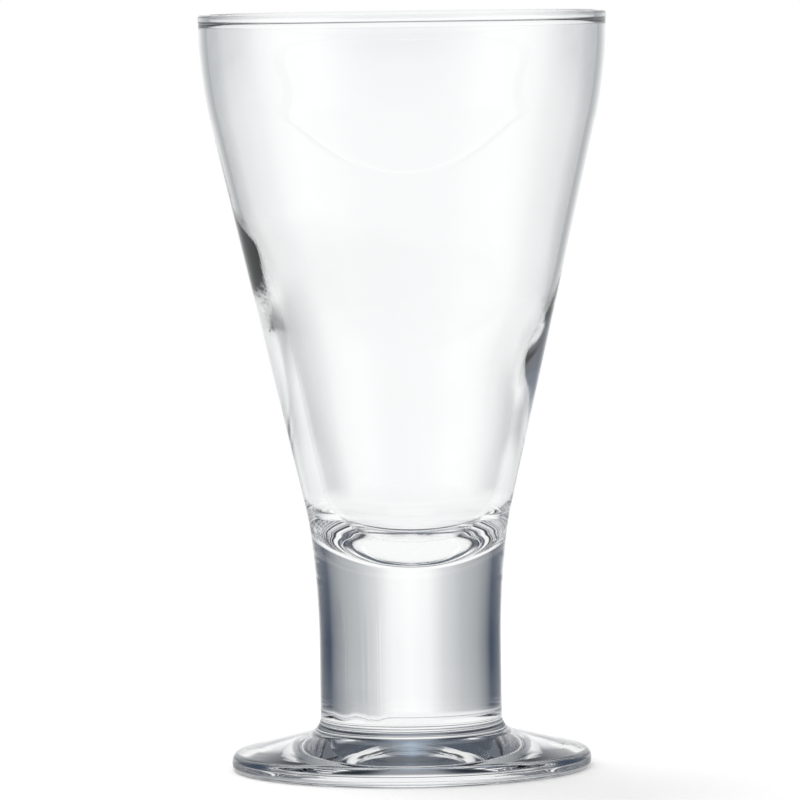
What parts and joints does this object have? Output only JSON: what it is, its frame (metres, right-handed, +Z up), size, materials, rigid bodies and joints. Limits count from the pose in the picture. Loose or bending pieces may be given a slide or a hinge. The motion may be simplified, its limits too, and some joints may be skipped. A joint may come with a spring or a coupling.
{
  "type": "stemmed goblet",
  "caption": "Clear glass goblet: a tall tapering bowl with an upright band at the rim, on a short thick solid stem and a round sloping foot.",
  "frame": {"origin": "centre of the foot's flat rest ring, on the goblet's axis, at the plane of the table", "axes": "+Z up along the goblet's axis, from the foot to the rim; X and Y are any two directions across it, because the goblet is a body of revolution"},
  "size_m": [0.0862, 0.0862, 0.16],
  "materials": {
    "bowl_glass": "clear, fire-polished soda-lime glass, refractive index 1.52",
    "stem_glass": "clear solid glass with faint upright draw lines, refractive index 1.52",
    "foot_glass": "clear solid glass, smooth, refractive index 1.52"
  },
  "bodies": {
    "root": {"bowl": "bowl_glass", "stem": "stem_glass", "foot": "foot_glass"}
  },
  "joints": []
}
